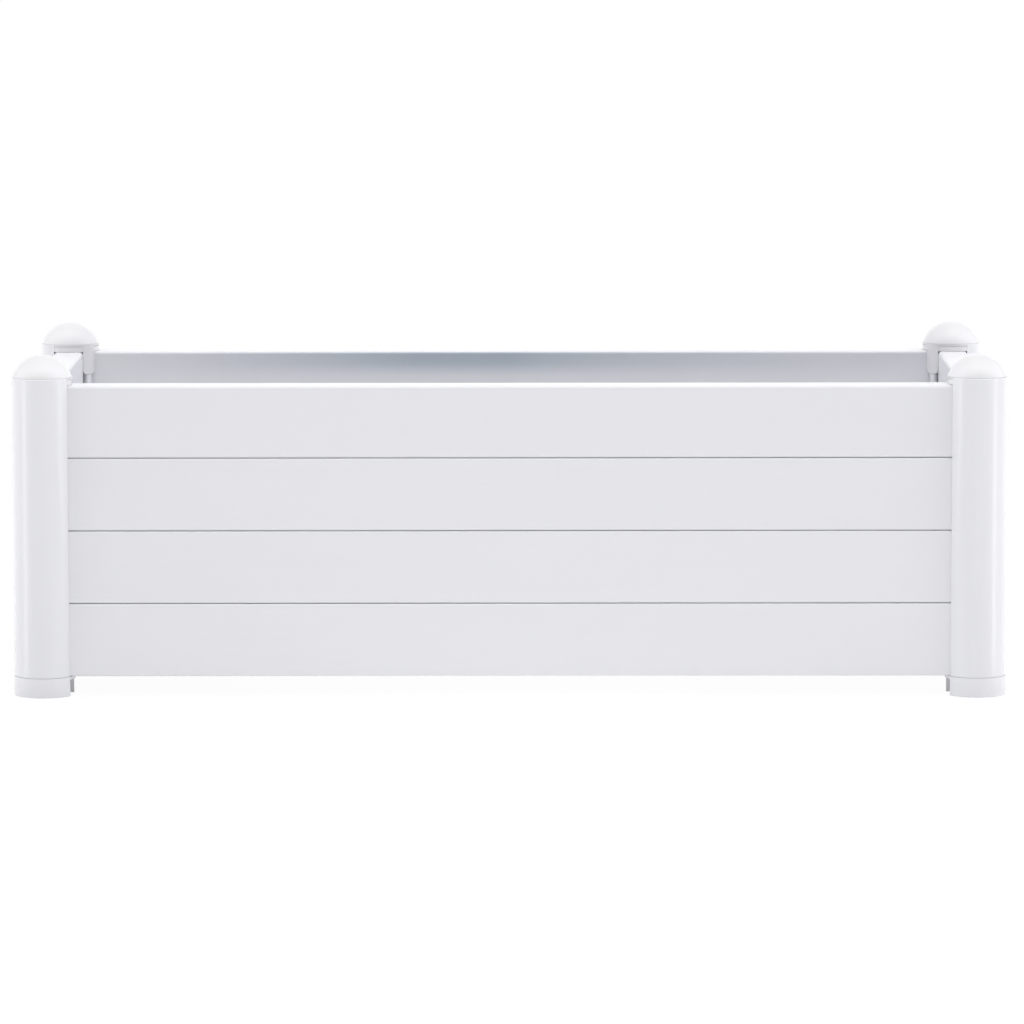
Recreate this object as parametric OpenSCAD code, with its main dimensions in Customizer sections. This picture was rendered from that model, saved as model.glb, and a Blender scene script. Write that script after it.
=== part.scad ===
// Raised garden bed of white plastic: four round posts on feet, under domed caps, hold walls of four
// tongue-and-groove boards each. A floor of three panels lies on a ledge inside the lowest boards.
// Millimetres, +Z up, -Y is the front. The origin is on the ground under the middle of the bed.

/* [Bed] */
// Length over the feet
bed_length = 1000; // [600:10:1600]
// Width over the feet
bed_width = 430; // [320:10:700]

/* [Boards] */
// Thickness of a board
board_thickness = 30; // [26:0.5:34]
// Height from one board to the next
board_pitch = 73.5; // [60:0.5:110]
// Thickness of a board's outer skins
board_skin = 2; // [1.6:0.1:3]
// Thickness of the webs inside a board
board_web = 1.6; // [1:0.1:2.4]
// Width of the tongue along a board's upper edge
tongue_width = 10; // [6:0.5:14]
// Height of the tongue
tongue_height = 6; // [4:0.5:8]
// Rounding of the board edges that meet in the wall
edge_round = 1.4; // [0.8:0.1:2]
// Height of the open line between two boards
line_height = 1; // [0.5:0.1:2]
// Depth of the open line between two boards
line_depth = 3; // [2:0.5:5]
// Rounding of the rim along the top of a wall
rim_round = 3.5; // [2:0.5:6]
// Rounding along the bottom of a wall
base_round = 2; // [1:0.5:4]

/* [Posts] */
// Diameter of a post
post_diameter = 61; // [58:0.5:70]
// Thickness of the round wall of a post
post_wall = 3; // [2:0.1:4]
// Thickness of the walls inside a post
core_wall = 2.5; // [1.6:0.1:3.2]
// Width of the rib between the two board channels
rib_width = 6; // [4:0.5:8]
// Height of a post above the rim of the boards
post_above_rim = 7.5; // [5:0.5:20]
// Bevel around the top of a post
post_bevel = 0.6; // [0.2:0.1:1.2]

/* [Caps] */
// Height of the dome above its post
dome_rise = 22.5; // [16:0.5:28]
// Step from the post in to the edge of the dome
dome_inset = 0.5; // [0:0.1:2]
// Rounding of the dome's lower edge
dome_edge = 1.2; // [0.6:0.1:2]
// Thickness of a cap's walls
cap_wall = 2.8; // [2:0.1:3.5]
// Height of the apron between the walls, below the dome
apron_height = 31; // [24:0.5:60]
// Height over which the apron narrows to the rib
apron_taper = 3.5; // [2:0.5:8]
// Height of the raised band at the top of a key
key_band = 2.5; // [1:0.1:4]
// Step from the raised band in to the rest of a key
key_step = 0.8; // [0.3:0.1:1.2]

/* [Feet] */
// Height of a foot
foot_height = 20; // [14:0.5:40]
// How far a foot stands out from its post
foot_proud = 0.25; // [0:0.05:1]
// Thickness of a foot's walls
foot_wall = 3; // [2:0.1:4]
// Rounding of the upper corners of the notch below each board end
notch_round = 2.8; // [1:0.1:4]

/* [Plugs] */
// Depth of a plug in the core of its post
plug_depth = 25; // [15:1:40]
// Thickness of a plug's walls
plug_wall = 2; // [1.4:0.1:3]

/* [Floor] */
// Height from the bottom of the wall to the underside of the floor
ledge_height = 14; // [10:0.5:24]
// Width of the ledge that carries the floor
ledge_width = 10; // [6:0.5:16]
// Thickness of the ledge
ledge_thickness = 3; // [2:0.1:4]
// Thickness of a floor panel
floor_thickness = 3; // [2:0.1:5]
// Height of the ribs under a floor panel
floor_rib_height = 11; // [6:0.5:12]
// Thickness of the ribs under a floor panel
floor_rib_thickness = 2; // [1.4:0.1:4]
// Distance between the ribs under a floor panel
floor_rib_spacing = 50; // [30:1:80]
// Width of the flange that joins two floor panels
flange_width = 10; // [6:0.5:16]
// Diameter of a drain hole
drain_diameter = 8; // [4:0.5:12]

/* [Fits] */
// Gap between a board and the channel it slides in
channel_fit = 0.3; // [0.2:0.05:0.6]
// Gap between a plug, key or apron and what it fits
cap_fit = 0.4; // [0.3:0.05:0.6]
// Gap between a tongue and its groove
tongue_fit = 0.4; // [0.2:0.05:0.6]
// Gap between a board's end and the bottom of its channel
end_fit = 0.6; // [0.3:0.1:1.5]
// Gap around and between the floor panels
floor_fit = 1; // [0.5:0.1:2]

/* [Hidden] */
$fn = 96;

// Boards in a wall, chambers in a board, panels in the floor, rows of drain holes
board_count = 4;
chamber_count = 3;
panel_count = 3;
drain_rows = 3;
// What a cut reaches past the face that it opens
over = 1;

// Heights
rim_z = foot_height + board_count * board_pitch;
post_top_z = rim_z + post_above_rim;
apron_bottom_z = post_top_z - apron_height;
floor_z = foot_height + ledge_height;

// Post and channel, from the axis of the post
post_r = post_diameter / 2;
foot_r = post_r + foot_proud;
channel_half = board_thickness / 2 + channel_fit;
core_half = channel_half + core_wall;
board_end = core_half + end_fit;
post_x = bed_length / 2 - foot_r;
post_y = bed_width / 2 - foot_r;

// Plug in the square core
plug_half = channel_half - cap_fit;

// Dome: part of a sphere through its lower edge and its top
dome_base_r = post_r - dome_inset;
dome_r = (dome_base_r ^ 2 + dome_rise ^ 2) / (2 * dome_rise);
dome_centre = dome_rise - dome_r;
edge_x = sqrt((dome_r - dome_edge) ^ 2 - (dome_edge - dome_centre) ^ 2);
edge_top = dome_centre + (dome_edge - dome_centre) * dome_r / (dome_r - dome_edge);

// Clear space between the walls
inner_x = post_x - board_thickness / 2;
inner_y = post_y - board_thickness / 2;

// Floor panels share the length between the walls
panel_length = 2 * inner_x / panel_count;
panel_half_y = inner_y - floor_fit;
rib_half_y = inner_y - ledge_width - floor_fit;

WHITE = "#eeeef2";
COOL_WHITE = "#e6e7ed";
INNER_WHITE = "#dfe1e8";

// Puts a shape, drawn with +X and +Y pointing into the bed, at the post of the left (-1) or right (1)
// and front (-1) or rear (1)
module at_post(side_x, side_y) {
    translate([side_x * post_x, side_y * post_y, 0])
        mirror([side_x > 0 ? 1 : 0, 0, 0])
            mirror([0, side_y > 0 ? 1 : 0, 0])
                children();
}

// Everything on the side of a post that faces into the bed: both board channels and the corner between
// them, as an outline seen from above
module open_side(half) {
    translate([core_half, -half])
        square([post_r, post_diameter]);
    translate([-half, core_half])
        square([post_diameter, post_r]);
}

// The corner between the two walls, as an outline seen from above
module inner_corner(from) {
    translate([from, from])
        square(post_diameter);
}

module square_tube(half, wall) {
    difference() {
        square(2 * half, center = true);
        square(2 * (half - wall), center = true);
    }
}

module ring(outer, inner) {
    difference() {
        circle(outer);
        circle(inner);
    }
}

// Rectangle with one radius at its lower corners and one at its upper corners
module soft_rectangle(left, right, low, high, low_r, high_r) {
    translate([left, low + low_r])
        square([right - left, high - high_r - low - low_r]);
    translate([left + low_r, low])
        square([right - left - 2 * low_r, low_r + over]);
    translate([left + high_r, high - high_r - over])
        square([right - left - 2 * high_r, high_r + over]);
    for (x = [left + low_r, right - low_r])
        translate([x, low + low_r])
            circle(low_r);
    for (x = [left + high_r, right - high_r])
        translate([x, high - high_r])
            circle(high_r);
}

// Cross section of a post: round wall, square core, webs and the rib between the channels
module post_section() {
    difference() {
        intersection() {
            circle(post_r);
            union() {
                ring(post_r + over, post_r - post_wall);
                square_tube(core_half, core_wall);
                translate([0, -core_half])
                    square([post_r, core_wall]);
                translate([-core_half, 0])
                    square([core_wall, post_r]);
                translate([-post_r, -core_wall / 2])
                    square([post_r - core_half + over, core_wall]);
                translate([-core_wall / 2, -post_r])
                    square([core_wall, post_r - core_half + over]);
            }
        }
        open_side(channel_half);
    }
    intersection() {
        circle(post_r);
        inner_corner(channel_half);
        rotate(45)
            translate([channel_half, -rib_width / 2])
                square([post_r, rib_width]);
    }
}

module post(side_x, side_y) {
    color(WHITE)
        at_post(side_x, side_y)
            difference() {
                translate([0, 0, foot_height])
                    linear_extrude(post_top_z - foot_height)
                        post_section();
                // The rib is cut back behind the apron of the cap
                translate([0, 0, apron_bottom_z - cap_fit])
                    linear_extrude(post_top_z)
                        intersection() {
                            inner_corner(channel_half - over);
                            ring(post_r + over, post_r - cap_wall - 2 * cap_fit);
                        }
                // Bevel around the top
                translate([0, 0, post_top_z - post_bevel])
                    difference() {
                        cylinder(h = post_bevel + over, r = post_r + over);
                        translate([0, 0, -over])
                            cylinder(h = post_bevel + 2 * over, r1 = post_r + over, r2 = post_r - post_bevel - over);
                    }
            }
}

// Solid dome, standing on the top of its post
module dome() {
    rotate_extrude()
        intersection() {
            union() {
                intersection() {
                    translate([0, dome_centre])
                        circle(dome_r);
                    translate([-post_diameter, edge_top])
                        square([2 * post_diameter, dome_rise]);
                }
                translate([edge_x, dome_edge])
                    circle(dome_edge);
                square([edge_x, edge_top]);
            }
            square([post_diameter, post_diameter]);
        }
}

// The room inside a dome
module dome_room() {
    intersection() {
        translate([0, 0, dome_centre])
            sphere(dome_r - cap_wall);
        translate([-post_diameter / 2, -post_diameter / 2, 0])
            cube([post_diameter, post_diameter, post_diameter]);
    }
}

// The apron's outline, seen along the diagonal from inside the bed
module apron_face() {
    half = post_r * sin(45 - asin((channel_half + cap_fit) / post_r));
    polygon([
        [-half - over, over],
        [-half - over, apron_taper - apron_height],
        [-half, apron_taper - apron_height],
        [-rib_width / 2, -apron_height],
        [rib_width / 2, -apron_height],
        [half, apron_taper - apron_height],
        [half + over, apron_taper - apron_height],
        [half + over, over]
    ]);
}

// The skirt under a dome: a key over each board end, and the apron between the walls
module skirt() {
    key_height = post_above_rim - cap_fit;
    difference() {
        translate([0, 0, -key_height])
            linear_extrude(key_height)
                intersection() {
                    ring(post_r, post_r - cap_wall);
                    open_side(plug_half);
                }
        translate([0, 0, -key_height - over])
            linear_extrude(key_height + over - key_band)
                difference() {
                    ring(post_r + over, post_r - key_step);
                    inner_corner(channel_half + cap_fit);
                }
    }
    intersection() {
        translate([0, 0, -apron_height])
            linear_extrude(apron_height)
                intersection() {
                    ring(post_r, post_r - cap_wall);
                    inner_corner(channel_half + cap_fit);
                }
        rotate([0, 0, 45])
            rotate([90, 0, 90])
                linear_extrude(post_diameter)
                    apron_face();
    }
}

module cap(side_x, side_y) {
    color(WHITE)
        at_post(side_x, side_y)
            translate([0, 0, post_top_z]) {
                difference() {
                    dome();
                    dome_room();
                }
                intersection() {
                    dome();
                    union() {
                        linear_extrude(cap_wall)
                            ring(post_r, post_r - post_wall - cap_wall);
                        linear_extrude(post_diameter)
                            square_tube(plug_half, plug_wall);
                    }
                }
                skirt();
                translate([0, 0, -plug_depth])
                    linear_extrude(plug_depth)
                        square_tube(plug_half, plug_wall);
            }
}

// Notch in the wall of a foot, below a board end that points along +X. It is open at the ground.
module notch() {
    translate([core_half, 0, 0])
        rotate([90, 0, 90])
            linear_extrude(post_diameter)
                soft_rectangle(
                    -channel_half, channel_half, -2 * over, foot_height - foot_wall, over, notch_round
                );
}

module foot(side_x, side_y) {
    inner_r = foot_r - foot_wall;
    color(WHITE)
        at_post(side_x, side_y)
            difference() {
                union() {
                    cylinder(h = post_bevel, r1 = foot_r - post_bevel, r2 = foot_r);
                    translate([0, 0, post_bevel])
                        cylinder(h = foot_height - post_bevel, r = foot_r);
                    translate([0, 0, foot_height])
                        linear_extrude(plug_depth)
                            square_tube(plug_half, plug_wall);
                }
                // The foot is hollow below its top plate, apart from a cross of ribs
                translate([0, 0, -over])
                    linear_extrude(foot_height - foot_wall + over)
                        difference() {
                            circle(inner_r);
                            rotate(45) {
                                square([post_diameter, foot_wall], center = true);
                                square([foot_wall, post_diameter], center = true);
                            }
                        }
                notch();
                mirror([1, -1, 0])
                    notch();
            }
}

// Cross section of a board, with its outer face towards +X and its lower edge on the X axis.
// The lowest board has a plain bottom and the ledge, and the top board has the rim.
module board_section(row) {
    half = board_thickness / 2;
    lowest = row == 1;
    top = row == board_count;
    low = lowest ? 0 : line_height;
    chambers_low = board_skin + (lowest ? 0 : tongue_height + tongue_fit);
    chamber_height = (board_pitch - board_skin - chambers_low + board_web) / chamber_count - board_web;
    difference() {
        union() {
            soft_rectangle(
                -half, half, low, board_pitch, lowest ? base_round : edge_round, top ? rim_round : edge_round
            );
            if (!lowest)
                translate([line_depth - half, 0])
                    square([2 * (half - line_depth), line_height + edge_round]);
            if (!top)
                translate([-tongue_width / 2, board_pitch - over])
                    square([tongue_width, tongue_height + over]);
        }
        if (!lowest)
            translate([-tongue_width / 2 - tongue_fit, -over])
                square([tongue_width + 2 * tongue_fit, over + tongue_height + tongue_fit]);
        for (i = [0 : chamber_count - 1])
            translate([board_skin - half, chambers_low + i * (chamber_height + board_web)])
                square([2 * (half - board_skin), chamber_height]);
    }
}

// Ledge along the inner face of a lowest board, on a small gusset
module ledge_section() {
    inner = -board_thickness / 2;
    underside = ledge_height - ledge_thickness;
    translate([inner - ledge_width, underside])
        square([ledge_width + board_skin / 2, ledge_thickness]);
    polygon([
        [inner + board_skin / 2, underside - ledge_width / 2],
        [inner + board_skin / 2, underside + over],
        [inner - ledge_width / 2, underside + over],
        [inner - ledge_width / 2, underside],
        [inner, underside - ledge_width / 2]
    ]);
}

// A board of the rear wall of a bed that is half_span from its middle to a post
module board(row, distance, half_span) {
    color(row == board_count ? WHITE : COOL_WHITE)
        translate([0, distance, foot_height + (row - 1) * board_pitch])
            rotate([90, 0, 90]) {
                linear_extrude(2 * (half_span - board_end), center = true)
                    board_section(row);
                if (row == 1)
                    linear_extrude(2 * (half_span - post_r - floor_fit), center = true)
                        ledge_section();
            }
}

module rear_board(row) {
    board(row, post_y, post_x);
}

module front_board(row) {
    mirror([0, 1, 0])
        rear_board(row);
}

module left_board(row) {
    rotate([0, 0, 90])
        board(row, post_x, post_y);
}

module right_board(row) {
    mirror([1, 0, 0])
        left_board(row);
}

// Floor panel at a place from -1 (left) to 1 (right). The middle panel carries its neighbours on flanges.
module floor_panel(place) {
    centre = place * panel_length;
    left = centre - panel_length / 2 + (place < 0 ? floor_fit : floor_fit / 2);
    right = centre + panel_length / 2 - (place > 0 ? floor_fit : floor_fit / 2);
    ribbed_half = panel_length / 2 - max(ledge_width, flange_width) - 2 * floor_fit;
    bays = floor((ribbed_half - floor_rib_thickness) / floor_rib_spacing);
    row_spacing = 2 * rib_half_y / drain_rows;
    color(INNER_WHITE)
        difference() {
            union() {
                translate([left, -panel_half_y, floor_z])
                    cube([right - left, 2 * panel_half_y, floor_thickness]);
                translate([centre, 0, floor_z - floor_rib_height]) {
                    for (i = [-bays : bays])
                        translate([i * floor_rib_spacing - floor_rib_thickness / 2, -rib_half_y, 0])
                            cube([floor_rib_thickness, 2 * rib_half_y, floor_rib_height]);
                    for (y = [-rib_half_y, rib_half_y - floor_rib_thickness])
                        translate([-bays * floor_rib_spacing, y, 0])
                            cube([2 * bays * floor_rib_spacing, floor_rib_thickness, floor_rib_height]);
                }
                if (place == 0)
                    for (edge = [left, right])
                        translate([edge - flange_width, -rib_half_y, floor_z - ledge_thickness])
                            cube([2 * flange_width, 2 * rib_half_y, ledge_thickness]);
            }
            for (side = [-1, 1])
                translate([place * post_x, side * post_y, 0])
                    cylinder(h = rim_z, r = place == 0 ? over : post_r + floor_fit);
            for (i = [-bays : bays - 1], j = [0 : drain_rows - 1])
                translate([
                    centre + (i + 0.5) * floor_rib_spacing,
                    (j + 0.5) * row_spacing - rib_half_y,
                    floor_z - floor_rib_height
                ])
                    cylinder(h = rim_z, d = drain_diameter);
        }
}

post(-1, -1);  // post_front_left
post(1, -1);  // post_front_right
post(-1, 1);  // post_rear_left
post(1, 1);  // post_rear_right
cap(-1, -1);  // cap_front_left
cap(1, -1);  // cap_front_right
cap(-1, 1);  // cap_rear_left
cap(1, 1);  // cap_rear_right
foot(-1, -1);  // foot_front_left
foot(1, -1);  // foot_front_right
foot(-1, 1);  // foot_rear_left
foot(1, 1);  // foot_rear_right
front_board(1);  // front_board_1
front_board(2);  // front_board_2
front_board(3);  // front_board_3
front_board(4);  // front_board_4
rear_board(1);  // rear_board_1
rear_board(2);  // rear_board_2
rear_board(3);  // rear_board_3
rear_board(4);  // rear_board_4
left_board(1);  // left_board_1
left_board(2);  // left_board_2
left_board(3);  // left_board_3
left_board(4);  // left_board_4
right_board(1);  // right_board_1
right_board(2);  // right_board_2
right_board(3);  // right_board_3
right_board(4);  // right_board_4
floor_panel(-1);  // floor_left
floor_panel(0);  // floor_middle
floor_panel(1);  // floor_right
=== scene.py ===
"""Dresses a raised garden bed of white plastic and sets it in a pale studio.

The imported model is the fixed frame. Its boards are right as they are and get an extruded plastic. Metres, +Z up,
-Y is the front, and the origin is on the ground under the middle of the bed.
"""

import logging
import math
from collections.abc import Callable, Iterator, Mapping
from contextlib import contextmanager
from dataclasses import dataclass
from enum import Enum

import bmesh
import bpy
from mathutils import Matrix, Vector


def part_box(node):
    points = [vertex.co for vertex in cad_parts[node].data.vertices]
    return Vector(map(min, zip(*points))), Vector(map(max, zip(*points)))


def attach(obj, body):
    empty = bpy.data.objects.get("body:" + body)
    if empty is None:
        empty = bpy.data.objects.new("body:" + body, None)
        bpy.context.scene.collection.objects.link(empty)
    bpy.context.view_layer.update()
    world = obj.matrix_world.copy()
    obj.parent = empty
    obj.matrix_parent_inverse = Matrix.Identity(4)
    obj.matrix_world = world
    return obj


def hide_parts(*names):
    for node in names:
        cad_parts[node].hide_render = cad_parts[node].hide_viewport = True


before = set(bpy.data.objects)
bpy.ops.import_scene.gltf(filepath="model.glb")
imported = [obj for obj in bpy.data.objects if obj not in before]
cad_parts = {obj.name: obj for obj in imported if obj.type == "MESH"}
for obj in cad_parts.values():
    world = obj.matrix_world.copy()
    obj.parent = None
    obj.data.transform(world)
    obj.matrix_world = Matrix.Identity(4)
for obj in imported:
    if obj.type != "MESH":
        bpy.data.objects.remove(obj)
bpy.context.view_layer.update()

LOG = logging.getLogger("garden_bed")

MM = 0.001

# Corners of the frame's meshes that are closer than this are merged, in metres.
MERGE = 0.001 * MM
# Faces that meet at less than this many degrees become one.
FLAT_ANGLE = 0.2
# The share of its length that a normal or an edge has along an axis that it follows.
STRAIGHT = 0.99
# How far from a plane a corner still counts as in it, in the unit of its piece.
NEAR = 0.01
# How far in from an outline a corner still counts as on it, in millimetres.
RIM = 0.1
# How far a cutting piece goes past what it cuts, in millimetres. Some go past by a multiple of it, because faces
# that lie in one plane upset the Boolean modifier.
OVER = 1.0
# The refractive index of polypropylene.
PLASTIC_IOR = 1.49

Colour = tuple[float, float, float]
Point = tuple[float, float, float]
Test = Callable[[bmesh.types.BMEdge | bmesh.types.BMFace], bool]
# The places and shares of a ramp.
Curve = tuple[tuple[float, float], ...]
# Colours round the upright axis, as (degrees from straight ahead, colour).
Round = tuple[tuple[float, Colour], ...]

WHITE: Colour = (1.0, 1.0, 1.0)


def grey(level: float) -> Colour:
    """A colour without a tint."""
    return (level, level, level)


class Axis(Enum):
    """An axis of the bed."""

    X = 0
    Y = 1
    Z = 2


class Element(Enum):
    """What is selected on a mesh, by the name of its list there."""

    FACE = "faces"
    EDGE = "edges"


class Named(Enum):
    """A place on the bed that gives its name to nodes and bodies."""

    @property
    def label(self) -> str:
        """The name as it stands in the names of nodes and bodies."""
        return self.name.lower()


class Corner(Named):
    """A corner of the bed, as the sides of its post along X and along Y."""

    FRONT_LEFT = (-1, -1)
    FRONT_RIGHT = (1, -1)
    REAR_LEFT = (-1, 1)
    REAR_RIGHT = (1, 1)

    def place(self) -> Matrix:
        """Finds the way from a piece drawn in millimetres, with +X and +Y into the bed, to this corner's post.

        Returns:
            The matrix, which mirrors the piece at two of the corners.
        """
        low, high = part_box(f"foot_{self.label}")
        axis = Vector(((low.x + high.x) / 2, (low.y + high.y) / 2, 0.0))
        side_x, side_y = self.value
        return Matrix.Translation(axis) @ Matrix.Diagonal((-side_x * MM, -side_y * MM, MM, 1.0))


class Wall(Named):
    """A wall of the bed, with the axis that its boards run along and a number that tells walls apart."""

    FRONT = (Axis.X, 0)
    REAR = (Axis.X, 1)
    LEFT = (Axis.Y, 2)
    RIGHT = (Axis.Y, 3)


class Panel(Named):
    """A panel of the floor."""

    LEFT = 0
    MIDDLE = 1
    RIGHT = 2


class Term:
    """A value in a shader graph. Python's operators on it add Math nodes."""

    def __init__(self, graph: "Graph", socket: bpy.types.NodeSocket) -> None:
        """Wraps an output socket of a node in the graph."""
        self.graph = graph
        self.socket = socket

    def _math(self, operation: str, first: "Value", second: "Value") -> "Term":
        """Adds a Math node on two values."""
        return self.graph.node("Math", {"operation": operation}, {0: first, 1: second})

    def __add__(self, other: "Value") -> "Term":
        """Adds."""
        return self._math("ADD", self, other)

    def __radd__(self, other: "Value") -> "Term":
        """Adds, with the plain number first."""
        return self._math("ADD", other, self)

    def __sub__(self, other: "Value") -> "Term":
        """Subtracts."""
        return self._math("SUBTRACT", self, other)

    def __rsub__(self, other: "Value") -> "Term":
        """Subtracts from a plain number."""
        return self._math("SUBTRACT", other, self)

    def __mul__(self, other: "Value") -> "Term":
        """Multiplies."""
        return self._math("MULTIPLY", self, other)

    def __rmul__(self, other: "Value") -> "Term":
        """Multiplies, with the plain number first."""
        return self._math("MULTIPLY", other, self)

    def __truediv__(self, other: "Value") -> "Term":
        """Divides."""
        return self._math("DIVIDE", self, other)

    def __pow__(self, other: "Value") -> "Term":
        """Raises to a power."""
        return self._math("POWER", self, other)


Value = Term | float
Input = Term | float | str | tuple


class Graph:
    """The node tree of a material or of the world, filled from an empty start."""

    def __init__(self, owner: bpy.types.Material | bpy.types.World) -> None:
        """Turns the owner's nodes on and clears them.

        Args:
            owner: The material or the world.
        """
        owner.use_nodes = True
        self.tree = owner.node_tree
        self.tree.nodes.clear()

    def node(
        self,
        kind: str,
        settings: Mapping[str, object] | None = None,
        inputs: Mapping[str | int, Input] | None = None,
        output: str | int = 0,
    ) -> Term:
        """Adds a node, sets it and joins it up.

        Args:
            kind: The node's type, without the ShaderNode that all of them start with.
            settings: Properties of the node, set before its sockets. "stops" holds a ramp's places and colours.
            inputs: Values or links of its sockets, by identifier, name or number.
            output: The socket that the result stands for.

        Returns:
            The output socket as a term, or the node's first input where it has no output.
        """
        made = self.tree.nodes.new(f"ShaderNode{kind}")
        for name, value in (settings or {}).items():
            if name == "stops":
                self._fill_ramp(made.color_ramp, value)
            else:
                setattr(made, name, value)
        for name, value in (inputs or {}).items():
            socket = self._find(made.inputs, name)
            if isinstance(value, Term):
                self.tree.links.new(value.socket, socket)
            else:
                socket.default_value = (*value, 1.0) if socket.type == "RGBA" else value
        return Term(self, self._find(made.outputs, output) if made.outputs else made.inputs[0])

    @staticmethod
    def _find(sockets: bpy.types.NodeInputs, name: str | int) -> bpy.types.NodeSocket:
        """Finds a socket by number, identifier or name."""
        exact = [s for s in sockets if s.identifier == name]
        return exact[0] if exact else sockets[name]

    @staticmethod
    def _fill_ramp(ramp: bpy.types.ColorRamp, stops: tuple) -> None:
        """Fills a ramp.

        Args:
            ramp: The ramp.
            stops: Its stops, as (place, colour).
        """
        while len(ramp.elements) > 1:
            ramp.elements.remove(ramp.elements[-1])
        for i, (place, colour) in enumerate(stops):
            element = ramp.elements[0] if i == 0 else ramp.elements.new(place)
            element.position = place
            element.color = (*colour, 1.0)

    def mix(self, share: Value, first: Input, second: Input) -> Term:
        """Mixes two colours by a share from 0 to 1.

        Args:
            share: 0 for the first colour and 1 for the second.
            first: A colour, or a term.
            second: A colour, or a term.

        Returns:
            The mixed colour.
        """
        return self.node(
            "Mix",
            {"data_type": "RGBA"},
            {"Factor_Float": share, "A_Color": first, "B_Color": second},
            "Result_Color",
        )

    def split(self, vector: Term, axes: str = "XYZ") -> list[Term]:
        """The parts of a vector along some axes."""
        return [self.node("SeparateXYZ", {}, {"Vector": vector}, axis) for axis in axes]

    def stretched(self, scale: Colour) -> Term:
        """Object coordinates, times a scale along each axis."""
        place = self.node("TexCoord", output="Object")
        return self.node("Mapping", {}, {"Vector": place, "Scale": scale})

    def noise(self, vector: Term, seed: float, detail: float = 2.0, roughness: float = 0.5) -> Term:
        """Noise from 0 to 1 about 0.5, at one cell to a unit of its vector.

        Args:
            vector: The coordinates, already scaled.
            seed: The fourth coordinate, which tells one piece's pattern from another's.
            detail: How many finer layers are added.
            roughness: How strong each finer layer is.

        Returns:
            The noise as a term.
        """
        return self.node(
            "TexNoise",
            {"noise_dimensions": "4D"},
            {"Vector": vector, "W": seed, "Scale": 1.0, "Detail": detail, "Roughness": roughness},
            "Fac",
        )

    def round(self, aside: Value, ahead: Value, stops: Round) -> Term:
        """A colour that changes with the direction round the upright axis.

        Args:
            aside: How far to the side.
            ahead: How far straight ahead.
            stops: The colours, as (degrees from straight ahead, colour).

        Returns:
            The colour, which may be brighter than 1.
        """
        turned = self.node("Math", {"operation": "ARCTAN2"}, {0: aside, 1: ahead}) / math.pi
        top = max(max(colour) for _, colour in stops) or 1.0
        scaled = tuple((angle / 180.0, tuple(c / top for c in colour)) for angle, colour in stops)
        ramp = self.node("ValToRGB", {"stops": scaled}, {"Fac": turned})
        return self.scaled(ramp, top)

    def scaled(self, colour: Term, by: Value) -> Term:
        """A colour made brighter or darker."""
        return self.node("VectorMath", {"operation": "SCALE"}, {"Vector": colour, "Scale": by}, "Vector")

    def bump(self, height: Value, distance: float, under: Term | None = None) -> Term:
        """A normal that is tilted by a height.

        Args:
            height: The height, from 0 to 1.
            distance: What a height of 1 stands for, in metres.
            under: The normal below, if this one adds to another.

        Returns:
            The normal.
        """
        inputs = {"Strength": 1.0, "Distance": distance, "Height": height}
        if under is not None:
            inputs["Normal"] = under
        return self.node("Bump", {}, inputs)


@dataclass(frozen=True)
class MouldedPlastic:
    """Glossy moulded plastic: a fine grain, slow waves from cooling and a little dull dust."""

    name: str
    colour: Colour  # The plastic's linear colour.
    shade: Colour  # The linear colour where flow and dust dull it.
    roughness: float  # The roughness of the clean skin.
    seed: float  # Tells this finish's pattern from the others'.
    grain: float = 0.0007  # The size of the grain in metres.
    grain_depth: float = 0.00001  # The depth of the grain in metres.
    wave_depth: float = 0.0001  # The depth of the slow waves in metres.
    cloud_scale: Colour = (9.0, 9.0, 5.0)  # How many clouds of dust there are to a metre, along each axis.
    wave_scale: Colour = (30.0, 30.0, 12.0)  # How many slow waves there are to a metre, along each axis.
    shade_from: float = 0.35  # The cloud's level at which the shade starts.
    shade_gain: float = 1.6  # How fast the shade grows from there.
    cloud_dulls: float = 0.1  # How much the clouds change the roughness.
    grain_dulls: float = 0.06  # How much the grain changes it.

    def material(self) -> bpy.types.Material:
        """Builds the finish's material.

        Returns:
            The material.
        """
        material = bpy.data.materials.new(self.name)
        graph = Graph(material)
        cloud = graph.noise(graph.stretched(self.cloud_scale), self.seed, detail=4.0, roughness=0.6)
        grain = graph.noise(graph.stretched(grey(1 / self.grain)), self.seed + 1, detail=1.0)
        wave = graph.noise(graph.stretched(self.wave_scale), self.seed + 2, detail=1.0)
        shaded = (cloud - self.shade_from) * self.shade_gain
        dulled = self.roughness + self.cloud_dulls * (cloud - 0.5) + self.grain_dulls * (grain - 0.5)
        shader = graph.node(
            "BsdfPrincipled",
            {},
            {
                "Base Color": graph.mix(shaded, self.colour, self.shade),
                "Roughness": dulled,
                "IOR": PLASTIC_IOR,
                "Normal": graph.bump(grain, self.grain_depth, graph.bump(wave, self.wave_depth)),
            },
        )
        graph.node("OutputMaterial", {}, {"Surface": shader})
        return material


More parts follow.
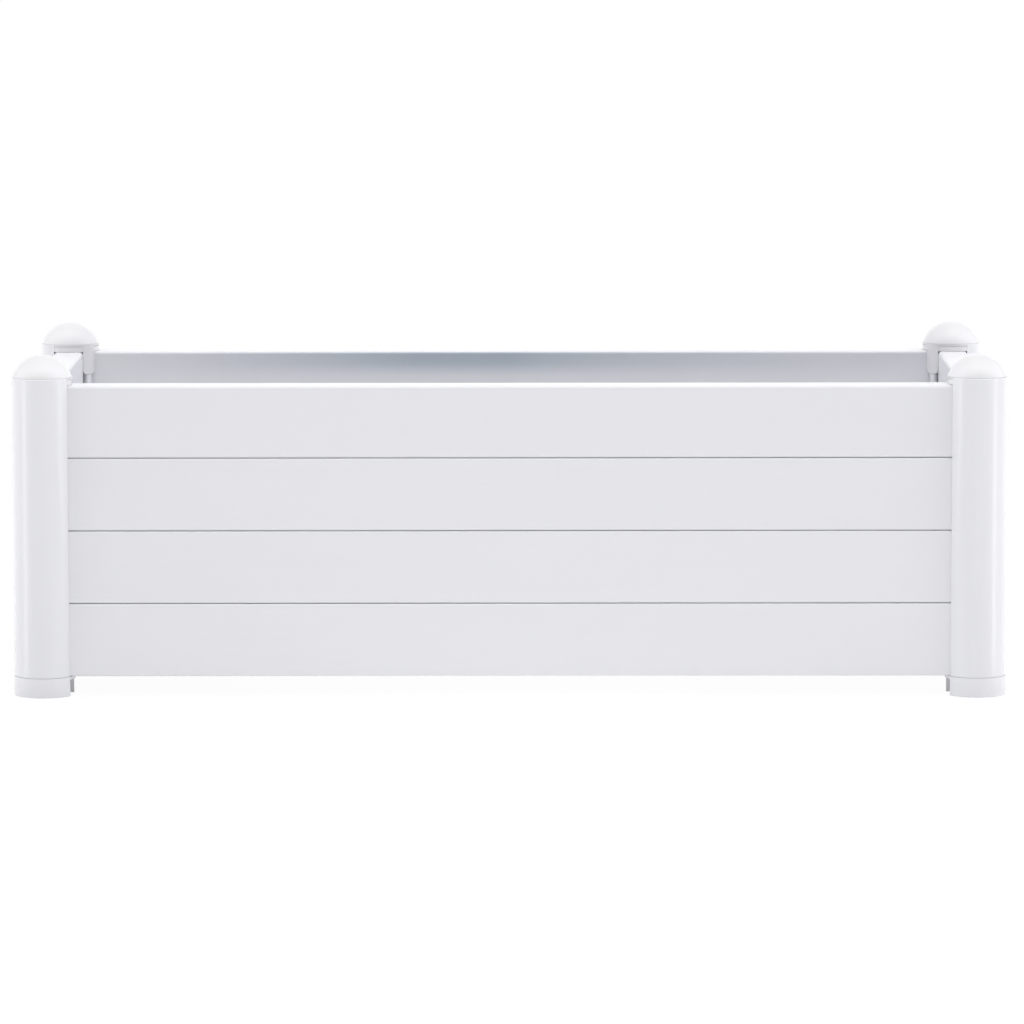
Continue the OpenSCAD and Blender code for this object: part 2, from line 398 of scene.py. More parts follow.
@dataclass(frozen=True)
class Film:
    """Painted shade: a bluish grey darkening painted on the inner face of a long wall's top board, below its rim."""

    colour: Colour = (0.46, 0.525, 0.585)  # The linear colour where the painted shade is strongest.
    inner_face: float = 0.16925  # How far the inner face is from the middle of the bed, in metres.
    fade: float = 0.0012  # How far into the rim's rounding the painted shade reaches, in metres.
    # How strong the painted shade is, as (height in metres, share); it is strongest just below the rim.
    heights: Curve = ((0.276, 0.0), (0.288, 0.15), (0.301, 0.9), (0.31, 1.0))
    # How strong it is along the wall, as (metres from the middle, share).
    places: Curve = (
        (-0.42, 0.0), (-0.36, 0.1), (-0.1, 1.0), (0.0, 1.0), (0.04, 0.78), (0.33, 0.2), (0.45, 0.1)
    )
    half_span: float = 0.5  # Half the length of wall that the places may lie on, in metres.
    least: float = 0.85  # The share of its strength that the painted shade has where the board's cloud noise is lowest.
    clouding: float = 0.3  # How much more it has where the board is clouded.

    def share(self, graph: Graph) -> Term:
        """Works out how strong the painted shade is at each point.

        Args:
            graph: The material's graph.

        Returns:
            The share, from 0 to 1.
        """
        x, y, z = graph.split(graph.node("TexCoord", output="Object"))
        limits = {"Value": y, "From Min": self.inner_face + self.fade, "From Max": self.inner_face}
        inside = graph.node("MapRange", {}, limits)
        along = self._read(graph, x + self.half_span, self.places, self.half_span)
        return inside * along * self._read(graph, z, self.heights, 0.0)

    @staticmethod
    def _read(graph: Graph, value: Term, stops: Curve, offset: float) -> Term:
        """Reads a share off a smooth ramp, whose places are moved up by an offset to lie from 0 to 1."""
        ramp = {"stops": tuple((place + offset, grey(share)) for place, share in stops)}
        return graph.split(graph.node("ValToRGB", ramp, {"Fac": value}), "X")[0]


@dataclass(frozen=True)
class ExtrudedPlastic:
    """Extruded plastic: drawn lines along the board over slow waves, with the board's own slight tint, and painted
    shade where it is given.
    """

    name: str  # The start of the material's name.
    colour: Colour  # The plastic's linear colour.
    shade: Colour  # The linear colour of its duller streaks.
    roughness: float  # The roughness of the clean skin.
    streak_depth: float = 0.00002  # The depth of the drawn lines in metres.
    wave_depth: float = 0.0003  # The depth of the slow waves in metres.
    streak: float = 0.0035  # The width of a drawn line in metres.
    streak_length: float = 0.4  # The length of a drawn line in metres.
    fine_length: float = 0.02  # The length of a fine line in metres.
    fine_part: float = 4.0  # How many times thinner and shallower a fine line is than a drawn one.
    cloud_size: tuple[float, float] = (0.5, 0.12)  # The length and the width of a cloud or slow wave in metres.
    streak_shade: float = 0.8  # How much the drawn lines add to the shade.
    cloud_shade: float = 1.4  # How much the clouds add to it.
    cloud_from: float = 0.4  # The cloud's level at which it starts to.
    streak_dulls: float = 0.1  # How much the drawn lines change the roughness.
    cloud_dulls: float = 0.08  # How much the clouds change it.

    def material(self, axis: Axis, seed: float, film: Film | None = None) -> bpy.types.Material:
        """Builds the material of one board or post.

        Args:
            axis: The direction that it runs in.
            seed: Tells its pattern from the others'.
            film: The painted shade on it, if it has one.

        Returns:
            The material.
        """
        material = bpy.data.materials.new(f"{self.name}_{axis.name.lower()}_{seed:.0f}")
        graph = Graph(material)

        def along(length: float, width: float) -> Term:
            """Coordinates with one cell of the pattern this long along the piece and this wide across it."""
            return graph.stretched(tuple(1 / (length if other is axis else width) for other in Axis))

        streak = graph.noise(along(self.streak_length, self.streak), seed, detail=2.0, roughness=0.6)
        fine = graph.noise(along(self.fine_length, self.streak / self.fine_part), seed + 0.3, detail=1.0)
        cloud = graph.noise(along(*self.cloud_size), seed + 0.6, detail=3.0, roughness=0.6)
        shaded = (streak - 0.5) * self.streak_shade + (cloud - self.cloud_from) * self.cloud_shade
        dulled = self.roughness + self.streak_dulls * (streak - 0.5) + self.cloud_dulls * (cloud - 0.5)
        colour = graph.mix(shaded, self.colour, self.shade)
        # Painted shade: where given, the colour is darkened towards a bluish grey below the rim, most near the middle
        # of the wall.
        if film is not None:
            thickness = film.share(graph) * (film.least + film.clouding * cloud)
            colour = graph.mix(thickness, colour, film.colour)
        lines = graph.bump(streak, self.streak_depth, graph.bump(cloud, self.wave_depth))
        shader = graph.node(
            "BsdfPrincipled",
            {},
            {
                "Base Color": colour,
                "Roughness": dulled,
                "IOR": PLASTIC_IOR,
                "Normal": graph.bump(fine, self.streak_depth / self.fine_part, lines),
            },
        )
        graph.node("OutputMaterial", {}, {"Surface": shader})
        return material


def dress(piece: bpy.types.Object, material: bpy.types.Material) -> None:
    """Gives a piece one material in all its slots.

    Args:
        piece: The piece.
        material: Its material.
    """
    slots = piece.material_slots
    if not slots:
        piece.data.materials.append(material)
    for slot in slots:
        slot.material = material


class Workpiece:
    """A mesh on the bench, shaped with Blender's edit-mode operators as by hand."""

    SIDES = 96  # How many sides a round piece has.
    RINGS = 72  # How many rings a ball has.

    def __init__(self, piece: bpy.types.Object, name: str) -> None:
        """Takes a new object to the bench and puts its place in its mesh.

        Args:
            piece: The object.
            name: The name that it and its mesh get.
        """
        self.piece = piece
        self.piece.name = self.piece.data.name = name
        self._pick()
        bpy.ops.object.transform_apply(location=True, rotation=True, scale=True)

    @classmethod
    def block(cls, name: str, low: Point, high: Point) -> "Workpiece":
        """A box.

        Args:
            name: Its name.
            low: Its lowest corner.
            high: Its highest corner.

        Returns:
            The box.
        """
        bpy.ops.object.select_all(action="DESELECT")
        bpy.ops.mesh.primitive_cube_add(size=1.0, location=[(a + b) / 2 for a, b in zip(low, high)])
        bpy.context.object.scale = [b - a for a, b in zip(low, high)]
        return cls(bpy.context.object, name)

    @classmethod
    def tube(cls, name: str, half: float, low: float, high: float, wall: float, soft: float) -> "Workpiece":
        """An upright square tube round the origin between two heights, with its outer edges rounded."""
        tube = cls.block(name, (-half, -half, low), (half, half, high)).bore(wall)
        return tube.soften(lambda edge: is_upright(edge) and abs(edge.verts[0].co.x) > half - NEAR, soft)

    @classmethod
    def column(cls, name: str, radius: float, low: float, high: float) -> "Workpiece":
        """An upright cylinder round the origin between two heights."""
        size = {"radius": radius, "depth": high - low, "location": (0, 0, (low + high) / 2)}
        return cls._added(name, bpy.ops.mesh.primitive_cylinder_add, vertices=cls.SIDES, **size)

    @classmethod
    def ball(cls, name: str, radius: float, height: float) -> "Workpiece":
        """A ball over the origin with its centre at a height."""
        size = {"segments": cls.SIDES, "ring_count": cls.RINGS, "radius": radius}
        return cls._added(name, bpy.ops.mesh.primitive_uv_sphere_add, location=(0, 0, height), **size)

    @classmethod
    def _added(cls, name: str, primitive: Callable[..., set[str]], **size: object) -> "Workpiece":
        """A primitive at its size and place.

        Args:
            name: Its name.
            primitive: The operator that adds it.
            size: The operator's settings.

        Returns:
            The primitive.
        """
        bpy.ops.object.select_all(action="DESELECT")
        primitive(**size)
        return cls(bpy.context.object, name)

    @classmethod
    def from_node(cls, node: str, name: str) -> "Workpiece":
        """Copies a node of the frame and makes whole faces of its loose triangles.

        Args:
            node: The node.
            name: The copy's name.

        Returns:
            The copy.
        """
        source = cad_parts[node]
        piece = bpy.data.objects.new(name, source.data.copy())
        bpy.context.scene.collection.objects.link(piece)
        made = cls(piece, name)
        with made.editing("SELECT"):
            bpy.ops.mesh.customdata_custom_splitnormals_clear()
            bpy.ops.mesh.remove_doubles(threshold=MERGE)
            bpy.ops.mesh.dissolve_limited(angle_limit=math.radians(FLAT_ANGLE))
        return made

    def _pick(self) -> None:
        """Selects this piece alone and makes it the active one."""
        bpy.ops.object.select_all(action="DESELECT")
        self.piece.select_set(True)
        bpy.context.view_layer.objects.active = self.piece

    @contextmanager
    def editing(self, action: str = "DESELECT") -> Iterator[None]:
        """Opens the piece in edit mode, and closes it again.

        Args:
            action: What select_all does at the start.

        Yields:
            Nothing.
        """
        self._pick()
        bpy.ops.object.mode_set(mode="EDIT")
        bpy.ops.mesh.select_all(action=action)
        yield
        bpy.ops.object.mode_set(mode="OBJECT")

    def select(self, kind: Element, wanted: Test) -> None:
        """Selects faces or edges by their place or angle, in edit mode.

        Args:
            kind: Which of them.
            wanted: The test that they pass.
        """
        bpy.ops.mesh.select_mode(type=kind.name)
        mesh = bmesh.from_edit_mesh(self.piece.data)
        for element in getattr(mesh, kind.value):
            element.select_set(wanted(element))
        bmesh.update_edit_mesh(self.piece.data)

    def turned(self, angle: float) -> "Workpiece":
        """Turns the piece round the upright axis.

        Args:
            angle: The degrees, from +X towards +Y.

        Returns:
            The piece itself.
        """
        with self.editing("SELECT"):
            bpy.ops.transform.rotate(value=-math.radians(angle), orient_axis="Z", center_override=(0, 0, 0))
        return self

    def cut(self, point: Point, away: Point) -> "Workpiece":
        """Cuts a side off the piece and closes the cut.

        Args:
            point: A point of the cut.
            away: The direction to the side that goes.

        Returns:
            The piece itself.
        """
        with self.editing("SELECT"):
            bpy.ops.mesh.bisect(plane_co=point, plane_no=away, use_fill=True, clear_outer=True)
        return self

    def soften(self, wanted: Test, width: float, segments: int = 3) -> "Workpiece":
        """Rounds the edges that pass a test.

        Args:
            wanted: The test.
            width: The width of the rounding on each side of an edge.
            segments: How many faces make the rounding.

        Returns:
            The piece itself.
        """
        with self.editing():
            self.select(Element.EDGE, wanted)
            bpy.ops.mesh.bevel(offset=width, segments=segments, profile=0.5, affect="EDGES", clamp_overlap=True)
        return self

    def bore(self, wall: float) -> "Workpiece":
        """Opens an upright piece from its flat bottom to its flat top.

        Args:
            wall: The wall that is left.

        Returns:
            The piece itself.
        """
        with self.editing():
            self.select(Element.FACE, lambda face: abs(face.normal.z) > STRAIGHT)
            bpy.ops.mesh.inset(thickness=wall, use_boundary=True)
            bpy.ops.mesh.bridge_edge_loops()
        return self

    def hollow(self, wall: float, depth: float) -> "Workpiece":
        """Sinks a room into the flat bottom of a piece.

        Args:
            wall: The wall that is left round the room.
            depth: How far up the room goes.

        Returns:
            The piece itself.
        """
        with self.editing():
            self.select(Element.FACE, lambda face: face.normal.z < -STRAIGHT)
            bpy.ops.mesh.inset(thickness=wall)
            bpy.ops.mesh.extrude_region_move(TRANSFORM_OT_translate={"value": (0, 0, depth)})
        return self

    def _combine(self, other: "Workpiece", operation: str) -> "Workpiece":
        """Applies a Boolean modifier with another piece and removes that piece.

        Args:
            other: The other piece.
            operation: The modifier's operation.

        Returns:
            The piece itself.
        """
        modifier = self.piece.modifiers.new(operation.lower(), "BOOLEAN")
        modifier.operation = operation
        modifier.solver = "EXACT"
        modifier.object = other.piece
        self._pick()
        bpy.ops.object.modifier_apply(modifier=modifier.name)
        bpy.data.meshes.remove(other.piece.data)
        return self

    def unite(self, other: "Workpiece") -> "Workpiece":
        """Joins another piece on."""
        return self._combine(other, "UNION")

    def subtract(self, other: "Workpiece") -> "Workpiece":
        """Takes another piece away."""
        return self._combine(other, "DIFFERENCE")

    def intersect(self, other: "Workpiece") -> "Workpiece":
        """Keeps what lies inside another piece."""
        return self._combine(other, "INTERSECT")

    def clean(self, gap: float, angle: float = 35.0) -> "Workpiece":
        """Merges what the cuts left, turns the faces outwards and shades the round ones smooth.

        Args:
            gap: Corners closer than this are merged.
            angle: Faces that meet at more than this many degrees keep a sharp edge.

        Returns:
            The piece itself.
        """
        with self.editing("SELECT"):
            bpy.ops.mesh.remove_doubles(threshold=gap)
            bpy.ops.mesh.dissolve_limited(angle_limit=math.radians(FLAT_ANGLE))
            bpy.ops.mesh.select_all(action="SELECT")
            bpy.ops.mesh.normals_make_consistent(inside=False)
        self._pick()
        bpy.ops.object.shade_smooth_by_angle(angle=math.radians(angle))
        return self

    def copy_to(self, name: str, place: Matrix) -> bpy.types.Object:
        """Copies the piece, with a mesh of its own, to a place that may mirror it.

        Args:
            name: The copy's name.
            place: Where the copy goes.

        Returns:
            The copy, with its place in its mesh.
        """
        piece = bpy.data.objects.new(name, self.piece.data.copy())
        piece.data.name = name
        piece.data.transform(place)
        bpy.context.scene.collection.objects.link(piece)
        if place.determinant() < 0:
            copy = Workpiece(piece, name)
            with copy.editing("SELECT"):
                bpy.ops.mesh.flip_normals()
        return piece

    def remove(self) -> None:
        """Takes the piece off the bench."""
        bpy.data.meshes.remove(self.piece.data)


def is_sharp(edge: bmesh.types.BMEdge, angle: float = 30.0) -> bool:
    """Whether two faces meet at an edge by more than so many degrees."""
    return len(edge.link_faces) == 2 and edge.calc_face_angle(0.0) > math.radians(angle)


def is_upright(edge: bmesh.types.BMEdge, share: float = STRAIGHT) -> bool:
    """Whether an edge rises by more than a share of its length."""
    ends = [v.co for v in edge.verts]
    return abs(ends[0].z - ends[1].z) > share * (ends[0] - ends[1]).length


def adopt(piece: bpy.types.Object, node: str, body: str, material: bpy.types.Material) -> None:
    """Lets a finished piece stand for a node of the frame.

    Args:
        piece: The finished piece.
        node: The node that it stands for.
        body: The body that it moves with.
        material: Its material.
    """
    dress(piece, material)
    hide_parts(node)
    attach(piece, body)
    LOG.info("%s: %d faces, stands for %s, rides on %s", piece.name, len(piece.data.polygons), node, body)


@dataclass
class Cap:
    """The four caps: a hollow dome with a plug, a key over each board end and an apron between the walls.

    Sizes are in millimetres, from the axis of the post and its top.
    """

    finish: MouldedPlastic
    post_radius: float = 30.5  # The radius of the post below.
    rise: float = 22.5  # The height of the dome.
    inset: float = 0.5  # The step from the post in to the dome.
    edge: float = 1.2  # The rounding of the dome's lower edge.
    wall: float = 2.8  # The thickness of the walls.
    mouth: float = 24.7  # The radius of the dome's open bottom.
    lap: float = 0.05  # How far the skirt laps up into the dome.
    key_height: float = 7.25
    key_half: float = 15.15  # Half the width of a key.
    groove_top: float = 1.5  # How far below the dome the groove across a key starts.
    groove_height: float = 0.5
    groove_depth: float = 1.2
    apron_height: float = 31.0
    apron_taper: float = 3.5  # The height over which it narrows at the bottom.
    apron_from: float = 15.25  # Where the apron starts, from the axis of the post along each wall.
    rib_width: float = 6.0  # The width of the apron's lower end.
    plug_half: float = 14.9  # Half the width of the plug.
    plug_wall: float = 2.0  # The thickness of the plug's walls.
    plug_depth: float = 25.0
    soft: float = 0.4  # The rounding of the small edges.
    merge: float = 0.005  # Corners closer than this are merged.

    def build(self) -> None:
        """Models one cap and puts a copy of it on each post."""
        cap = self._dome().unite(self._plug()).unite(self._skirt()).clean(self.merge)
        material = self.finish.material()
        for corner in Corner:
            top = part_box(f"post_{corner.label}")[1].z
            place = Matrix.Translation((0, 0, top)) @ corner.place()
            piece = cap.copy_to(f"domed_cap_{corner.label}", place)
            adopt(piece, f"cap_{corner.label}", f"{corner.label}_cap", material)
        cap.remove()

    def _ball(self, name: str, inwards: float) -> Workpiece:
        """The ball that the dome is a part of, smaller by a distance."""
        radius = ((self.post_radius - self.inset) ** 2 + self.rise**2) / (2 * self.rise)
        return Workpiece.ball(name, radius - inwards, self.rise - radius)

    def _dome(self) -> Workpiece:
        """Models the hollow dome.

        Returns:
            The dome, with a flange left round its open bottom.
        """
        dome = self._ball("dome", 0.0).cut((0, 0, 0), (0, 0, -1))
        dome.soften(lambda edge: all(abs(v.co.z) < NEAR for v in edge.verts), self.edge, segments=5)
        dome.subtract(self._ball("dome_room", self.wall).cut((0, 0, self.wall), (0, 0, -1)))
        return dome.subtract(Workpiece.column("dome_mouth", self.mouth, -OVER, self.wall + OVER))

    def _plug(self) -> Workpiece:
        """The square tube that goes down into the post and up to the dome."""
        plug = Workpiece.tube("plug", self.plug_half, -self.plug_depth, self.rise, self.plug_wall, 2 * self.soft)
        return plug.intersect(self._ball("plug_trim", self.wall / 2))

    def _skirt(self) -> Workpiece:
        """Models what hangs from the dome.

        Returns:
            The skirt: a key with a groove over each board end, and the apron between the walls.
        """
        skirt = Workpiece.column("skirt", self.post_radius, -self.apron_height, self.lap).bore(self.wall)
        skirt.cut((0, -self.key_half, 0), (0, -1, 0)).cut((-self.key_half, 0, 0), (-1, 0, 0))
        reach, low = self.post_radius + 5 * OVER, -self.apron_height - OVER
        below = Workpiece.block("below_keys", (-reach, -reach, low), (reach, reach, -self.key_height))
        skirt.subtract(below.subtract(self._apron_room()))
        groove = Workpiece.column(
            "groove", self.post_radius + OVER, -self.groove_top - self.groove_height, -self.groove_top
        )
        skirt.subtract(groove.bore(OVER + self.groove_depth).subtract(self._apron_room()))
        radius, foot = self.post_radius - RIM, -self.key_height
        return skirt.soften(
            lambda edge: is_sharp(edge) and all(v.co.xy.length > radius and v.co.z < foot + NEAR for v in edge.verts),
            self.soft,
            segments=2,
        )

    def _apron_room(self) -> Workpiece:
        """Models the room between the walls.

        Returns:
            The room that the apron fills, which narrows to the post's rib at the bottom.
        """
        start, reach = self.apron_from, self.post_radius + 10 * OVER
        low = -self.apron_height - 3 * OVER
        room = Workpiece.block("apron_room", (start, start, low), (reach, reach, 3 * OVER))
        half = self.post_radius * math.sin(math.pi / 4 - math.asin(start / self.post_radius))
        narrowing = half - self.rib_width / 2
        for side in (-1, 1):
            across = Vector((-1, 1, 0)).normalized() * side
            point = across * half + Vector((0, 0, self.apron_taper - self.apron_height))
            room.cut(tuple(point), tuple(across * self.apron_taper - Vector((0, 0, narrowing))))
        return room


@dataclass
class Foot:
    """The four feet: a hollow puck with an open notch below each board end and a plug on top.

    Sizes are in millimetres, from the axis of the post and the ground.
    """

    finish: MouldedPlastic
    radius: float = 30.75
    height: float = 20.0
    wall: float = 3.0  # The thickness of its walls.
    edge: float = 0.6  # The rounding of its lower edge.
    seam: float = 0.4  # The height of the open seam under the post.
    seam_depth: float = 1.2
    notch_from: float = 17.8  # Where a notch starts, from the axis of the foot.
    notch_outer: float = 15.3  # How far a notch reaches towards the outside of the bed.
    notch_inner: float = 11.5  # How far it reaches towards the inside.
    notch_top: float = 0.1  # How far below the top plate's underside a notch ends.
    notch_corner: float = 1.2  # The rounding of a notch's upper corners.
    soft: float = 0.5  # The rounding of the upright edges of a notch.
    plug_half: float = 14.9  # Half the width of the plug.
    plug_wall: float = 2.0  # The thickness of the plug's walls.
    plug_depth: float = 25.0  # The height of the plug.
    rib_turns: tuple[float, float] = (45.0, -45.0)  # The directions of the ribs, in degrees.

    def build(self) -> None:
        """Models one foot and puts a copy of it under each post."""
        foot = self._puck().unite(self._plug())
        for along in (Axis.X, Axis.Y):
            foot.subtract(self._notch(along))
        outer = self.radius - RIM
        foot.soften(
            lambda edge: is_sharp(edge) and is_upright(edge) and all(v.co.xy.length > outer for v in edge.verts),
            self.soft,
        )
        foot.clean(NEAR)
        material = self.finish.material()
        for corner in Corner:
            piece = foot.copy_to(f"hollow_foot_{corner.label}", corner.place())
            adopt(piece, f"foot_{corner.label}", "bed", material)
        foot.remove()

    def _puck(self) -> Workpiece:
        """Models the round body.

        Returns:
            The body, hollow below its top plate apart from a cross of ribs.
        """
        puck = Workpiece.column("puck", self.radius, 0.0, self.height)
        puck.soften(lambda edge: all(v.co.z < NEAR for v in edge.verts), self.edge)
        seam = Workpiece.column("seam", self.radius + OVER, self.height - self.seam, self.height + OVER)
        puck.subtract(seam.bore(OVER + self.seam_depth))
        room = self.height - self.wall
        puck.hollow(self.wall - self.edge, room)
        reach, half = self.radius - self.wall / 2, self.wall / 2
        for turn in self.rib_turns:
            rib = Workpiece.block("rib", (-reach, -half, 0.0), (reach, half, room + half))
            puck.unite(rib.turned(turn))
        return puck

    def _plug(self) -> Workpiece:
        """The square tube that goes up into the post."""
        low, high = self.height - self.wall / 2, self.height + self.plug_depth
        return Workpiece.tube("plug", self.plug_half, low, high, self.plug_wall, self.edge)

    def _notch(self, along: Axis) -> Workpiece:
        """Models what a notch takes away.

        Args:
            along: The axis that the notched side faces along.

        Returns:
            The block.
        """
        across = 1 - along.value
        low, high = Vector((0, 0, -5 * OVER)), Vector((0, 0, self.height - self.wall - self.notch_top))
        low[along.value], high[along.value] = self.notch_from, self.radius + 5 * OVER
        low[across], high[across] = -self.notch_outer, self.notch_inner
        notch = Workpiece.block("notch", tuple(low), tuple(high))
        return notch.soften(
            lambda edge: all(v.co.z > 0 for v in edge.verts)
            and abs(edge.verts[0].co[along.value] - edge.verts[1].co[along.value]) > OVER,
            self.notch_corner,
            segments=6,
        )


@dataclass
class Post:
    """The four posts, copied from the frame with their outer edges softened."""

    finish: ExtrudedPlastic
    soft: float = 0.35  # The rounding of the upright edges at the channels and the rib, in millimetres.
    reach: float = 0.7  # How far in from its outermost edges a post is softened, in millimetres.
    upright: float = 0.9  # How straight up an edge runs that is softened, as a share of its length.
    seed: int = 50  # Tells the first post's pattern from the boards' patterns.

    def build(self) -> None:
        """Models each post."""
        for number, corner in enumerate(Corner):
            node = f"post_{corner.label}"
            low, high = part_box(f"foot_{corner.label}")
            axis = Vector(((low.x + high.x) / 2, (low.y + high.y) / 2))
            radius = (high.x - low.x) / 2 - self.reach * MM
            post = Workpiece.from_node(node, f"round_post_{corner.label}")
            post.soften(lambda edge: self._is_outer(edge, axis, radius), self.soft * MM)
            post.clean(MERGE)
            material = self.finish.material(Axis.Z, self.seed + number)
            adopt(post.piece, node, "bed", material)

    def _is_outer(self, edge: bmesh.types.BMEdge, axis: Vector, radius: float) -> bool:
        """Whether an edge is sharp, upright and further than a radius from an axis."""
        outside = all((v.co.xy - axis).length > radius for v in edge.verts)
        return outside and is_upright(edge, self.upright) and is_sharp(edge)


@dataclass
class FloorDeck:
    """The three floor panels, copied from the frame with the upper edges and the drain holes softened."""

    finish: MouldedPlastic
    soft: float = 0.6  # The rounding of the edges in millimetres.

    def build(self) -> None:
        """Models each panel."""
        material = self.finish.material()
        for panel in Panel:
            node = f"floor_{panel.label}"
            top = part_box(node)[1].z
            piece = Workpiece.from_node(node, f"drained_floor_{panel.label}")
            piece.soften(
                lambda edge: is_sharp(edge) and all(abs(v.co.z - top) < NEAR * MM for v in edge.verts), self.soft * MM
            )
            piece.clean(MERGE)
            adopt(piece.piece, node, "bed", material)


@dataclass
class BoardWall:
    """A wall of four boards, which stay as the frame has them."""

    wall: Wall
    finish: ExtrudedPlastic
    board_count: int = 4  # The number of boards in the wall.
    seed_step: int = 10  # How far apart the walls' patterns start.

    def build(self) -> None:
        """Dresses each board from the lowest up."""
        axis, number = self.wall.value
        for row in range(1, self.board_count + 1):
            name = f"{self.wall.label}_board_{row}"
            # Only the rear wall's top board gets painted shade, below its rim.
            film = Film() if self.wall is Wall.REAR and row == self.board_count else None
            dress(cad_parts[name], self.finish.material(axis, number * self.seed_step + row, film))
            LOG.info("%s: extruded plastic", name)


@dataclass
class Studio:
    """The pale floor, the soft light and the camera."""

    floor_radius: float = 42.0
    floor_colour: Colour = grey(0.6)  # The floor's linear colour.
    floor_roughness: float = 0.8
    # The light that the floor gives of its own, as a lit table does, on either side, as (degrees from straight
    # ahead of a post to straight behind it, colour).
    floor_glow: Round = (
        (0.0, grey(0.46)),
        (30.0, grey(0.1)),
        (54.0, grey(0.1)),
        (63.0, (2.2, 2.2, 2.15)),
        (72.0, (2.2, 2.2, 2.15)),
        (80.0, grey(0.05)),
        (108.0, grey(0.05)),
        (128.0, grey(0.5)),
        (180.0, grey(0.3)),
    )
    near_glow: Colour = grey(0.35)  # The floor's glow right beside a post.
    near_reach: float = 0.45  # How far from a post's axis its own glow takes over, in metres.
    whiteness: float = 0.93  # How much of the floor's shading is washed out, as in a cut-out picture.
    # The place of a post's axis on the floor, on the right and at the rear.
    post_place: tuple[float, float] = (0.469, 0.184)
    # The light from each height, as (degrees above the floor, and then as for the floor's glow).
    sky: tuple[tuple[float, Round], ...] = (
        (4.0, ((60.0, grey(0.0)), (85.0, (0.9, 0.9, 0.95)), (130.0, grey(1.15)))),
        (20.0, ((60.0, grey(0.0)), (85.0, (2.1, 2.1, 2.2)), (100.0, (2.05, 2.05, 2.15)), (125.0, grey(0.9)))),
        (40.0, ((0.0, grey(0.15)), (70.0, (2.5, 2.55, 2.7)), (95.0, (1.95, 1.95, 2.05)), (125.0, grey(0.55)))),
        (65.0, ((0.0, (3.3, 3.25, 3.2)), (90.0, grey(1.7)), (130.0, grey(0.45)))),
        (90.0, ((0.0, (1.78, 1.73, 1.68)),)),
    )
    # How much stronger the light from the right is than the mean, and the light from the left weaker.
    lean: float = 0.08
    lean_span: float = 0.5  # How far from the middle the floor's glow reaches its full lean, in metres.
    camera_place: Point = (0.0171, -5.9543, 0.8906)  # Where the camera stands.
    camera_tilt: float = 6.976  # How far the camera looks down, in degrees.
    camera_yaw: float = 0.148  # How far the camera is turned to the left, in degrees.
    camera_roll: float = 0.072  # How far the camera is rolled, in degrees.
    camera_lens: float = 203.24  # The camera's focal length in millimetres.
    camera_sensor: float = 36.0  # The width of its sensor in millimetres.
    camera_far: float = 100.0  # How far it sees, in metres.

    def build(self) -> None:
        """Builds the floor, the light and the camera."""
        self._build_floor()
        self._build_sky()
        self._build_camera()

    def _build_floor(self) -> None:
        """Lays a round pale floor, which isn't part of the bed."""
        bpy.ops.object.select_all(action="DESELECT")
        bpy.ops.mesh.primitive_circle_add(vertices=128, radius=self.floor_radius, fill_type="NGON")
        floor = bpy.context.object
        floor.name = floor.data.name = "studio_floor"
        material = bpy.data.materials.new("studio_floor")
        graph = Graph(material)
        cloud = graph.noise(graph.stretched(grey(0.7)), seed=3.0)
        colour = graph.mix(cloud, self.floor_colour, tuple(c * 0.98 for c in self.floor_colour))
        x, y = graph.split(graph.node("TexCoord", output="Object"), "XY")
        aside = graph.node("Math", {"operation": "ABSOLUTE"}, {0: x}) - self.post_place[0]
        ahead = -self.post_place[1] - y
        reach = (aside * aside + ahead * ahead) ** 0.5
        limits = {"Value": reach, "From Max": self.near_reach}
        far = graph.node("MapRange", {"interpolation_type": "SMOOTHSTEP"}, limits)
        glow = graph.mix(far, self.near_glow, graph.round(aside, ahead, self.floor_glow))
        limits = {"Value": x, "From Min": -self.lean_span, "From Max": self.lean_span}
        limits |= {"To Min": 1 - self.lean, "To Max": 1 + self.lean}
        glow = graph.scaled(glow, graph.node("MapRange", {}, limits))
        lit = graph.node(
            "BsdfPrincipled",
            {},
            {
                "Base Color": colour,
                "Roughness": self.floor_roughness,
                "Specular IOR Level": 0.1,
                "Emission Color": glow,
                "Emission Strength": 1.0,
            },
        )
        white = graph.node("Emission", {}, {"Color": WHITE, "Strength": 1.0})
        seen = graph.node("LightPath", output="Is Camera Ray") * self.whiteness
        shader = graph.node("MixShader", {}, {0: seen, 1: lit, 2: white})
        graph.node("OutputMaterial", {}, {"Surface": shader})
        dress(floor, material)
        LOG.info("studio_floor: radius %.0f m", self.floor_radius)

    def _build_sky(self) -> None:
        """Lights the scene from a sky that changes with height and direction, and shows white to the camera."""
        world = bpy.data.worlds.new("studio_sky")
        bpy.context.scene.world = world
        graph = Graph(world)
        x, y, z = graph.split(graph.node("TexCoord", output="Generated"))
        aside = graph.node("Math", {"operation": "ABSOLUTE"}, {0: x})
        height = graph.node("Math", {"operation": "ARCSINE"}, {0: z}) * (180.0 / math.pi)
        below, stops = self.sky[0]
        lit = graph.round(aside, y * -1.0, stops)
        for level, stops in self.sky[1:]:
            limits = {"Value": height, "From Min": below, "From Max": level}
            lit = graph.mix(graph.node("MapRange", {}, limits), lit, graph.round(aside, y * -1.0, stops))
            below = level
        seen = graph.node("LightPath", output="Is Camera Ray")
        shown = graph.mix(seen, graph.scaled(lit, 1.0 + self.lean * x), WHITE)
        shader = graph.node("Background", {}, {"Color": shown, "Strength": 1.0})
        graph.node("OutputWorld", {}, {"Surface": shader})
        bpy.context.scene.view_settings.view_transform = "Standard"

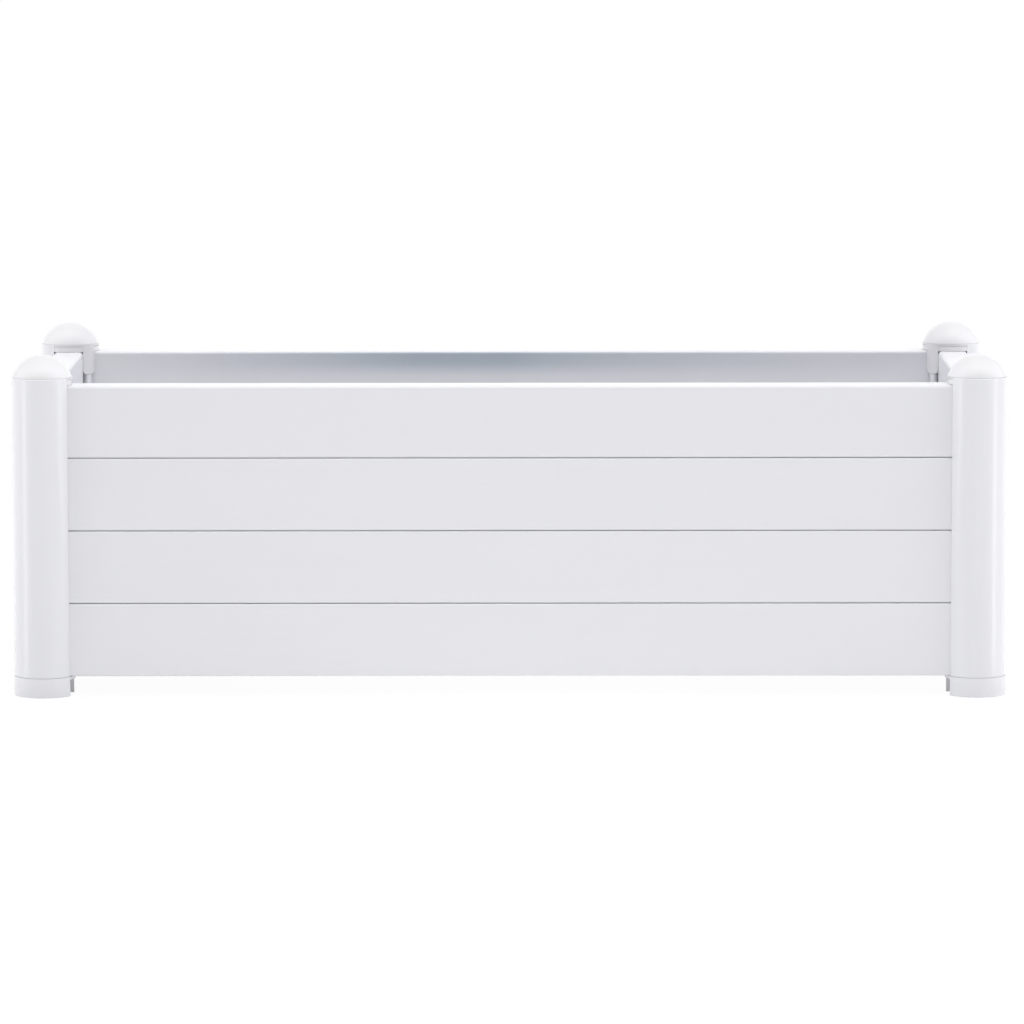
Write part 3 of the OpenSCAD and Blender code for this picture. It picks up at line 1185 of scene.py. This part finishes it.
    def _build_camera(self) -> None:
        """Sets the camera at the photograph's viewing angle."""
        tilt, yaw, roll = (math.radians(a) for a in (self.camera_tilt, self.camera_yaw, self.camera_roll))
        ahead = Vector((-math.sin(yaw) * math.cos(tilt), math.cos(yaw) * math.cos(tilt), -math.sin(tilt)))
        level = Vector((math.cos(yaw), math.sin(yaw), 0.0))
        upright = level.cross(ahead)
        right = math.cos(roll) * level - math.sin(roll) * upright
        up = math.sin(roll) * level + math.cos(roll) * upright
        turn = Matrix((right, up, -ahead)).transposed().to_4x4()
        camera = bpy.data.cameras.new("camera")
        camera.lens = self.camera_lens
        camera.sensor_width = self.camera_sensor
        camera.clip_end = self.camera_far
        holder = bpy.data.objects.new("camera", camera)
        holder.matrix_world = Matrix.Translation(self.camera_place) @ turn
        bpy.context.scene.collection.objects.link(holder)
        bpy.context.scene.camera = holder


@dataclass
class GardenBed:
    """The whole bed."""

    board_finish: ExtrudedPlastic
    post_finish: ExtrudedPlastic
    foot_finish: MouldedPlastic
    cap_finish: MouldedPlastic
    floor_finish: MouldedPlastic

    def build(self) -> None:
        """Builds and dresses every sub-assembly."""
        for wall in Wall:
            BoardWall(wall, self.board_finish).build()
        Post(self.post_finish).build()
        Foot(self.foot_finish).build()
        Cap(self.cap_finish).build()
        FloorDeck(self.floor_finish).build()


def main() -> None:
    """Builds the bed and the studio around the frame."""
    logging.basicConfig(level=logging.INFO, format="%(message)s")
    white, dull = (0.83, 0.83, 0.855), (0.80, 0.802, 0.83)
    cap_white, cap_dull = (0.80, 0.797, 0.805), (0.775, 0.774, 0.785)
    post_white, post_dull = (0.81, 0.81, 0.835), (0.785, 0.787, 0.815)
    GardenBed(
        board_finish=ExtrudedPlastic("board_plastic", white, dull, roughness=0.35),
        post_finish=ExtrudedPlastic(
            "post_plastic", post_white, post_dull, roughness=0.16, streak_depth=0.00001, wave_depth=0.00005
        ),
        foot_finish=MouldedPlastic("foot_plastic", post_white, post_dull, roughness=0.2, seed=40.0),
        cap_finish=MouldedPlastic("cap_plastic", cap_white, cap_dull, roughness=0.22, seed=60.0),
        floor_finish=MouldedPlastic(
            "floor_plastic", dull, dull, roughness=0.6, seed=70.0, grain=0.001, grain_depth=0.00004, wave_depth=0.0002
        ),
    ).build()
    Studio().build()


if __name__ == "__main__":
    main()
